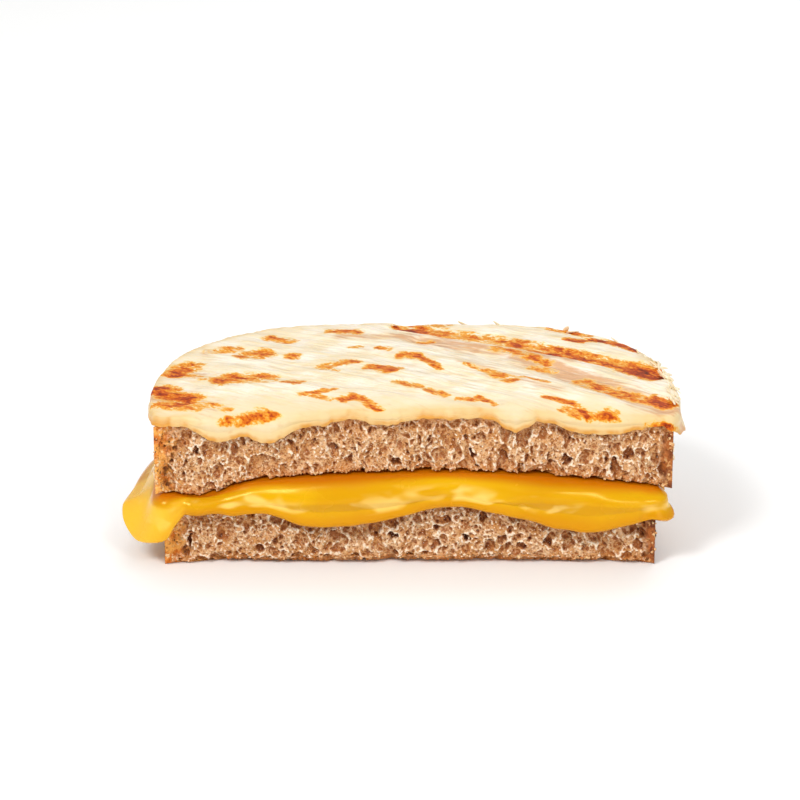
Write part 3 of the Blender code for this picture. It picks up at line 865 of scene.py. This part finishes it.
# Marks that the grill's bars left, bar by bar from the left: (from x, y, to x, y, half width, browning
# at the start, at the end). y counts from the cut, and is below zero on the edge that hangs over it.
GRILL_MARKS = (
    (-54, 17, -46, 8, 2.3, 1.15, 0.9), (-53, 7, -44, 4, 2.0, 1.0, 0.85),
    (-45, 8, -38, 2, 1.1, 0.75, 0.5), (-38, -4, -35, -5, 2.8, 0.9, 0.9),
    (-35, -5, -30, -1, 2.8, 0.9, 1.0),

    (-52, 27, -47, 32, 2.5, 1.2, 0.8), (-48, 26, -44, 21, 1.1, 0.6, 0.6),
    (-41, 20, -30, 20, 3.1, 0.95, 0.6), (-27, 17, -24, 16, 1.6, 0.85, 0.85),
    (-24, 8, -16, 12, 0.9, 0.7, 0.85), (-21, 8, -17, 5, 0.9, 0.8, 0.75),
    (-15, 5, -12, 7, 1.4, 1.0, 0.8), (-12, 7, -7, -1, 1.0, 0.85, 1.0),

    (-45, 40, -38, 42, 1.7, 0.6, 0.7), (-37, 35, -32, 39, 2.5, 0.75, 0.85),
    (-27, 36, -25, 35, 1.3, 0.85, 0.85), (-20, 27, -12, 30, 1.6, 0.7, 0.9),
    (-20, 26, -16, 23, 0.9, 0.7, 0.6), (-9, 26, -4, 23, 2.0, 0.85, 1.0),
    (-4, 16, 1, 12, 1.3, 0.7, 0.95), (3, 11, 7, 7, 1.2, 1.0, 0.8), (9, 5, 13, 5, 1.0, 0.8, 0.8),
    (13, 7, 17, 2, 0.8, 0.95, 0.9),

    (-32, 51, -27, 47, 1.9, 0.75, 0.85), (-14, 42, -11, 42, 0.8, 0.6, 0.6),
    (-8, 40, -5, 38, 0.9, 0.8, 0.8), (-3, 34, 1, 33, 1.4, 1.05, 1.05), (1, 33, 6, 25, 0.8, 0.9, 0.95),
    (11, 28, 17, 22, 1.0, 0.5, 0.65), (17, 22, 21, 16, 1.5, 0.6, 0.7), (23, 19, 28, 15, 0.7, 0.8, 0.75),
    (27, 7, 33, 4, 0.8, 0.8, 0.9), (32, 2, 36, -3, 2.2, 0.9, 1.0), (36, -3, 41, -2, 2.8, 1.0, 1.0),
    (50, -8, 52, -6, 2.4, 0.9, 1.1),

    (-19, 54, -12, 53, 1.6, 0.85, 1.0), (1, 46, 4, 47, 1.2, 1.05, 0.9),
    (17, 41, 23, 36, 1.4, 0.6, 0.85), (23, 36, 29, 29, 1.2, 0.85, 0.8), (25, 27, 30, 25, 1.2, 0.8, 0.5),
    (35, 19, 46, 10, 2.4, 0.75, 0.9), (49, 10, 53, 7, 2.1, 1.2, 1.3),

    (-4, 60, 1, 57, 1.8, 1.2, 1.0), (1, 62, 7, 62, 3.1, 0.8, 0.7), (1, 57, 11, 52, 2.0, 0.95, 0.8),
    (11, 52, 22, 46, 2.1, 0.75, 0.8), (22, 45, 34, 37, 2.4, 0.85, 1.0),
    (34, 37, 46, 30, 2.6, 1.0, 0.95), (46, 29, 52, 25, 3.2, 1.1, 1.35),

    (33, 48, 37, 46, 1.3, 0.85, 0.95), (31, 59, 38, 53, 2.0, 0.75, 0.8),
    (38, 49, 43, 48, 1.8, 1.2, 1.1), (43, 48, 49, 42, 1.8, 1.1, 1.35),
)
# Where the bars left the coat thin and glassy, in the same terms.
GLASSY_BARS = (
    (-3, 50, 14, 41, 3.0, 0.7, 0.8), (14, 41, 34, 32, 2.1, 0.6, 0.7), (22, 35, 34, 22, 2.9, 0.6, 1.0),
    (34, 22, 53, 3, 3.2, 1.0, 0.9), (11, 29, 29, 10, 2.4, 0.35, 0.4), (-53, 13, -40, 4, 3.4, 0.8, 0.3),
    (-52, 28, -44, 23, 3.2, 0.5, 0.3), (-16, 51, 1, 49, 2.3, 0.5, 0.6), (-45, 40, -38, 40, 2.1, 0.4, 0.3),
)
# The long grooves that the bars pressed.
GROOVES = (
    (-3, 60, 52, 25, 2.6, 1.0, 1.2), (1, 47, 53, 5, 3.2, 0.8, 1.25), (-50, 28, 8, 6, 2.6, 0.5, 0.4),
    (-38, 40, 17, 3, 2.6, 0.3, 0.4), (-30, 50, 40, -4, 2.6, 0.3, 0.7), (-53, 14, -28, -6, 2.8, 0.6, 0.6),
)
DOWN_THE_EDGE = 2.9


def coat_places(places):
    """How far right a place of the coat is, and how far back from the cut, less than nothing below it."""
    x, y, z = np.moveaxis(places, -1, 0)
    drop = np.maximum(0.0, top_of_bread(x, -CUT_TO_WIDEST) + COAT - z)
    over_cut = y < -CUT_TO_WIDEST + 1.5
    return x, y + CUT_TO_WIDEST - np.where(over_cut, DOWN_THE_EDGE * drop, 0.0)


def bars_at(x, from_cut, bars):
    """Strongest of the marks at a place: a ridge along a line, changing from end to end.

    How far off a place is, in half widths, is the hypotenuse of its distance from the line and twice
    its distance beyond the line's ends; the ridge is exp(-0.42 off^2.5).
    """
    heat = np.zeros_like(x)
    for from_x, from_y, to_x, to_y, half_width, first, last in bars:
        length = np.hypot(to_x - from_x, to_y - from_y)
        run_x, run_y = (to_x - from_x) / length, (to_y - from_y) / length
        along = (x - from_x) * run_x + (from_cut - from_y) * run_y
        aside = (x - from_x) * run_y - (from_cut - from_y) * run_x
        beyond = np.maximum(0.0, np.maximum(-along, along - length))
        off = np.hypot(aside, 2.0 * beyond) / half_width
        level = first + (last - first) * np.clip(along / length, 0.0, 1.0)
        heat = np.maximum(heat, level * np.exp(-0.42 * off ** 2.5))
    return heat


def coat_relief(places, hang):
    """Coat's surface: soft swells, the grooves that the bars pressed, long creases between them."""
    x, from_cut = coat_places(places)
    swell = 0.34 * rough(places, (13.0, 9.0, 9.0), 61, 2)
    turned = places @ np.array([[0.83, -0.56, 0.0], [0.56, 0.83, 0.0], [0.0, 0.0, 1.0]]).T
    crease = 0.2 * rough(turned, (6.0, 1.5, 2.0), 71, 3) * ease(-4.0, 12.0, from_cut)
    groove = 0.95 * bars_at(x, from_cut, GROOVES) + 0.12 * bars_at(x, from_cut, GRILL_MARKS)
    shoulder = -0.35 * hang ** 2
    return np.clip(swell + crease - groove - 0.2, -1.25, 0.0) * (1.0 - 0.6 * hang) + shoulder


def coat_fields(places, hang, border):
    """Attributes of the coat: how browned and glassy it is, how smooth, and how far from its lip."""
    x, from_cut = coat_places(places)
    front = (places[..., 1] < 6.0) * np.ones_like(x)
    return {
        "brown": bars_at(x, from_cut, GRILL_MARKS),
        "glassy": bars_at(x, from_cut, GLASSY_BARS),
        "smooth": front * (1.0 - ease(-2.0, 14.0 + 3.0 * noise(places, (9.0, 9.0, 9.0), 77), from_cut)),
        "border": border,
    }


def cheddar_relief(places, hang):
    """Cheddar's surface: long soft folds that run along the cut, and shallow swells."""
    folds = 0.6 * noise(places, (15.0, 30.0, 3.4), 81) + 0.22 * noise(places, (6.0, 6.0, 2.4), 82)
    away_from_tongue = ease(-47.0, -42.0, places[..., 0])
    return folds * ease(0.0, 0.15, hang) * (1.0 - 0.35 * hang) * away_from_tongue


def cheddar_fields(places, hang, border):
    """Attributes of the cheddar: nearness to the hanging edge, and the free flap at the left corner."""
    corner = bottom_rim[0]
    far = np.hypot(places[..., 0] - corner[0] + 3.0, places[..., 1] - corner[1] - 6.0)
    return {"edge": hang, "flap": (1.0 - ease(6.0, 15.0, far)) * ease(0.05, 0.3, hang)}


def along_edge(rim):
    """Distance along the rim as a line of places, for noise along an edge."""
    distance = distance_along(rim, 0)
    return np.stack([distance, distance * 0, distance * 0], axis=-1)


def make_cheddar(finish):
    """The cheddar between the slices, folded down over the lower one, with a tongue on the left."""
    rim = round_corners(outline(BOTTOM_PLAN, CHEDDAR_COLUMNS), 14)
    right = CHEDDAR_COLUMNS[0]
    flaps = ((0, LEFT_TONGUE), (right, RIGHT_TIP))
    lengths, slopes = spread_of_edge(rim, right, CHEDDAR_EDGE, CHEDDAR_CRUST_EDGE, CHEDDAR_FOLDS, flaps, 2)
    from_left = distance_along(rim, 0)
    tongue = ease(-38.0, -34.0, from_left) * (1.0 - ease(3.0, 6.0, from_left))
    from_right = distance_along(rim, right)
    tip = ease(-4.0, -1.0, from_right) * (1.0 - ease(3.0, 6.0, from_right))
    calm = 1.0 - np.maximum(tongue, tip)
    on_crust = np.arange(len(rim)) > right
    swell = 1.1 * np.maximum(0.0, rough(along_edge(rim), 14.0, 93, 2))
    melted = np.where(on_crust, swell * ease(8.0, 20.0, from_right), 0.0)
    lengths = lengths + (0.25 * noise(along_edge(rim), 3.5, 91) + melted) * calm
    lengths = np.maximum(lengths, 0.05)
    lip = CHEDDAR_LIP - 0.7 * tongue - 0.9 * tip
    roundness = 1.0 - 0.65 * np.maximum(tongue, tip)
    shares = np.concatenate([np.linspace(0.1, 0.9, 6), np.linspace(0.93, 1.0, 5)])
    piece = sheet_skin(
        "cheddar_melt", rim, lambda px, py: under_cheddar(px, py) + GAP, over_cheddar, (lengths, slopes),
        lip, roundness, cheddar_relief, shares, np.linspace(0.03, 1.0, 42),
        finish, cheddar_fields,
    )
    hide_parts("cheddar_sheet")
    return piece


def make_coat(finish):
    """The melted coat on the upper slice, hanging in scallops over the cut."""
    rim = round_corners(outline(TOP_PLAN, COAT_COLUMNS), 30)
    right = COAT_COLUMNS[0]
    line = along_edge(rim)
    flaps = tuple((right, profile) for profile in (COAT_LOBE, RIGHT_DRIP, BACK_DRIP))
    lengths, slopes = spread_of_edge(rim, right, COAT_EDGE, COAT_EDGE, COAT_SCALLOPS, flaps, 4)
    lengths = lengths + 0.35 * rough(line, 5.0, 101, 3) + 0.2 * noise(line, 0.9, 105)
    lengths = np.maximum(lengths, 0.25)
    shares = np.concatenate([np.linspace(0.02, 0.9, 46), np.linspace(0.915, 1.0, 12)])
    piece = sheet_skin(
        "grilled_coat", rim, lambda px, py: top_of_bread(px, py) + GAP * 0.5,
        lambda px, py: top_of_bread(px, py) + GAP + COAT, (lengths, slopes), np.full(len(rim), COAT_LIP),
        np.ones(len(rim)), coat_relief, shares, np.linspace(0.05, 1.0, 22),
        finish, coat_fields,
    )
    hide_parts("melted_cheese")
    return piece


# ---------------------------------------------------------------- seeds, crumbs and shreds

def pebble(steps):
    """A unit ball of four-sided faces: the grid on a cube's six sides, pushed out to the sphere."""
    side = np.linspace(-1.0, 1.0, steps + 1)
    first, second = np.meshgrid(side, side, indexing="ij")
    grids = []
    for axis in range(3):
        for way in (-1.0, 1.0):
            grid = np.stack([np.full_like(first, way), first, second * way], axis=-1)
            grids.append(np.roll(grid, axis, axis=-1).reshape(-1, 3))
    corners, merged = np.unique(np.round(np.concatenate(grids), 6), axis=0, return_inverse=True)
    merged = merged.reshape(6, steps + 1, steps + 1)
    around = [merged[:, :-1, :-1], merged[:, 1:, :-1], merged[:, 1:, 1:], merged[:, :-1, 1:]]
    quads = np.stack(around, axis=-1)
    ball = corners / np.linalg.norm(corners, axis=-1, keepdims=True)
    return ball, quads.reshape(-1, 4)


def scatter(name, shape, quads, spots, facings, sizes, turns, finish):
    """Many copies of one closed shape in one mesh, each set on a spot, facing out and turned.

    shape holds the copy's points with x along, y across and z outwards; sizes are the half sizes.
    """
    up = np.array([0.0, 0.0, 1.0])
    level = np.cross(up, facings)
    level = level / np.maximum(np.linalg.norm(level, axis=-1, keepdims=True), 1e-6)
    other = np.cross(facings, level)
    along = level * np.cos(turns)[:, None] + other * np.sin(turns)[:, None]
    across = np.cross(facings, along)
    scaled = shape[None] * sizes[:, None, :]
    points = spots[:, None] + scaled[..., :1] * along[:, None] + scaled[..., 1:2] * across[:, None]
    points = points + scaled[..., 2:] * facings[:, None]
    faces = (np.arange(len(spots))[:, None, None] * len(shape) + quads[None]).reshape(-1, 4)
    return mesh_piece(name, points.reshape(-1, 3), (faces,), finish)


def facing_of(wall):
    """Outward unit vectors of a slice's wall, from the softened slopes along it and down it."""
    smooth = np.stack([soften(wall[..., axis], 6) for axis in range(3)], axis=-1)
    along = np.roll(smooth, -1, axis=1) - np.roll(smooth, 1, axis=1)
    down = np.gradient(smooth, axis=0)
    facing = np.cross(down, along)
    return facing / np.maximum(np.linalg.norm(facing, axis=-1, keepdims=True), 1e-9)


def crust_spots(wall, chance, count, clusters, low, high):
    """Places and facings for seeds on a crust: half of them strewn evenly, half gathered in clusters.

    low and high are the shares of the wall's height, from its foot, between which seeds lie.
    """
    columns = wall.shape[1]
    first = BREAD_COLUMNS[0]
    room = columns - first
    even = first + 6 + chance.uniform(0.0, room - 12, count - count // 2)
    centres = first + 6 + chance.uniform(0.0, room - 12, clusters)
    near = chance.choice(centres, count // 2) + chance.normal(0.0, room * 0.012, count // 2)
    column = np.clip(np.round(np.concatenate([even, near])), first + 4, columns - 4).astype(int)
    row = np.round((1.0 - chance.uniform(low, high, count)) * (WALL_ROWS - 1)).astype(int)
    return wall[row, column], facing_of(wall)[row, column]


def seeds_on_crust():
    """Sesame and linseed baked into both crusts: teardrops that lie flat and half sunk in."""
    chance = np.random.default_rng(7)
    ball, quads = pebble(3)
    drop = ball * np.stack([np.ones(len(ball)), 1.0 - 0.35 * ball[:, 0], 1.0 - 0.3 * ball[:, 0]], axis=-1)
    kinds = (
        ("sesame_seeds", 76, (1.5, 0.85, 0.5), paint(214, 176, 128), paint(238, 212, 172), 0.45),
        ("linseeds", 26, (2.15, 1.1, 0.5), paint(44, 22, 14), paint(84, 44, 24), 0.22),
    )
    for name, count, size, dark, light, roughness in kinds:
        upper_spots, upper_facings = crust_spots(top_wall, chance, count, 9, 0.14, 0.72)
        lower_spots, lower_facings = crust_spots(bottom_wall, chance, count, 9, 0.16, 0.8)
        spots = np.concatenate([upper_spots, lower_spots])
        facings = np.concatenate([upper_facings, lower_facings])
        sizes = np.array(size) * chance.uniform(0.85, 1.12, (2 * count, 1))
        turns = chance.uniform(0.0, 2.0 * np.pi, 2 * count)
        spots = spots + facings * 0.16
        husk = seed_finish(name, dark, light, roughness)
        scatter(name, drop, quads, spots, facings, sizes, turns, husk)


def toasted_crumbs():
    """Loose nubs of toasted crumb that cling to the lower edges of the cuts and to the crust's ends."""
    chance = np.random.default_rng(19)
    ball, quads = pebble(2)
    uneven = ball * (0.8 + 0.35 * noise(ball * 1.7, 1.0, 5)[:, None])
    spots, facings = [], []
    for wall, count, low, high in ((top_wall, 210, 0.0, 0.07), (bottom_wall, 120, 0.02, 0.07)):
        column = np.round(chance.uniform(3, BREAD_COLUMNS[0] - 3, count)).astype(int)
        row = np.round((1.0 - chance.uniform(low, high, count)) * (WALL_ROWS - 1)).astype(int)
        spots.append(wall[row, column])
        facings.append(facing_of(wall)[row, column])
        ends = np.concatenate([chance.uniform(-12, 4, 26), BREAD_COLUMNS[0] + chance.uniform(-4, 10, 22)])
        column = np.round(ends).astype(int)
        row = np.round((1.0 - chance.uniform(0.1, 0.86, len(ends))) * (WALL_ROWS - 1)).astype(int)
        spots.append(wall[row, column])
        facings.append(facing_of(wall)[row, column])
    spots, facings = np.concatenate(spots), np.concatenate(facings)
    sizes = chance.uniform(0.16, 0.46, (len(spots), 1)) * chance.uniform(0.7, 1.3, (len(spots), 3))
    spots[:, 2] = np.maximum(spots[:, 2], 0.6)
    finish = seed_finish("toasted_crumb", paint(188, 112, 44), paint(236, 196, 142), 0.6)
    turns = chance.uniform(0.0, 2.0 * np.pi, len(spots))
    spots = spots + facings * 0.05
    scatter("toasted_crumbs", uneven, quads, spots, facings, sizes, turns, finish)


def cheese_shreds():
    """Thin pale shreds of the coat that stand off its edge round the crust, most of them on the right."""
    chance = np.random.default_rng(31)
    ball, quads = pebble(3)
    distance = distance_along(top_rim, BREAD_COLUMNS[0])
    wanted = np.concatenate([chance.uniform(8.0, 34.0, 34), chance.uniform(34.0, 108.0, 12)])
    column = np.argmin(np.abs(distance[None] - wanted[:, None]), axis=1)
    away = outward(top_rim)[column]
    facings = np.concatenate([away, np.full((len(column), 1), 1.1)], axis=-1)
    facings = facings + chance.normal(0.0, 0.4, facings.shape)
    facings = facings / np.linalg.norm(facings, axis=-1, keepdims=True)
    level = top_rim[column] + away * chance.uniform(-1.2, 0.7, (len(column), 1))
    height = top_of_bread(level[:, 0], level[:, 1]) + GAP + COAT - chance.uniform(0.0, 0.7, len(column))
    spots = np.concatenate([level, height[:, None]], axis=-1)
    sizes = np.array([2.1, 0.75, 0.24]) * chance.uniform(0.5, 1.1, (len(column), 3))
    turns = chance.normal(0.0, 0.6, len(column))
    finish = seed_finish("cheese_shred", paint(236, 214, 172), paint(246, 232, 204), 0.45)
    scatter("cheese_shreds", ball, quads, spots, facings, sizes, turns, finish)


def set_view():
    """Camera as at table height, a pale floor and soft lights from the left, the right and above."""
    scene = bpy.context.scene
    target = (np.array([0.3, 20.0, BOTTOM_SLICE + GAP + CHEDDAR]) + plan_centre) * MM
    camera = bpy.data.objects.new("camera", bpy.data.cameras.new("camera"))
    away = np.array([0.0, -np.cos(np.radians(20.0)), np.sin(np.radians(20.0))])
    camera.location = target + 0.7 * away
    camera.rotation_euler = Vector(-away).to_track_quat("-Z", "Y").to_euler()
    camera.data.lens = 144.9
    camera.data.sensor_width = 36.0
    camera.data.shift_x = -0.01875
    camera.data.shift_y = 0.05
    camera.data.clip_start = 0.01
    scene.collection.objects.link(camera)
    scene.camera = camera

    bpy.ops.mesh.primitive_plane_add(size=6.0, location=(0.0, 0.0, 0.0))
    floor = bpy.context.object
    floor.name = "floor"
    pale = Finish("pale_floor", 0.7)
    pale.colour(paint(253, 253, 252))
    floor.data.materials.append(pale.material)

    lights = (
        ("key", (-0.45, -0.6, 0.75), 0.3, 5.4),
        ("fill", (0.6, -0.8, 0.3), 0.6, 1.8),
        ("top", (0.15, 0.5, 0.75), 0.6, 2.6),
        ("strip", (0.25, -0.62, 0.6), 0.14, 0.9),
    )
    for name, place, size, power in lights:
        lamp = bpy.data.lights.new(name, "AREA")
        lamp.size = size
        lamp.energy = power
        holder = bpy.data.objects.new(name, lamp)
        holder.location = place
        holder.rotation_euler = (-Vector(place)).to_track_quat("-Z", "Y").to_euler()
        scene.collection.objects.link(holder)
    world = bpy.data.worlds.new("studio")
    world.use_nodes = True
    world.node_tree.nodes["Background"].inputs["Color"].default_value = (1.0, 1.0, 1.0, 1.0)
    world.node_tree.nodes["Background"].inputs["Strength"].default_value = 0.56
    scene.world = world
    scene.view_settings.view_transform = "Standard"


set_view()
upper_bread = bread_finish("brown_bread_upper", paint(226, 184, 138), paint(204, 148, 92))
lower_bread = bread_finish("brown_bread_lower", paint(224, 184, 140), paint(198, 142, 86))
top_piece, top_wall = slice_skin(
    "upper_slice", top_rim, lambda x, y: over_cheddar(x, y) + GAP, top_of_bread, 0.0, UPPER_HOLES, 11, 1.0,
    upper_bread,
)
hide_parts("bread_top")
bottom_piece, bottom_wall = slice_skin(
    "lower_slice", bottom_rim, table, under_cheddar, 1.6, LOWER_HOLES, 23, 1.8, lower_bread,
)
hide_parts("bread_bottom")
make_cheddar(cheddar_finish())
make_coat(coat_finish())
seeds_on_crust()
toasted_crumbs()
cheese_shreds()
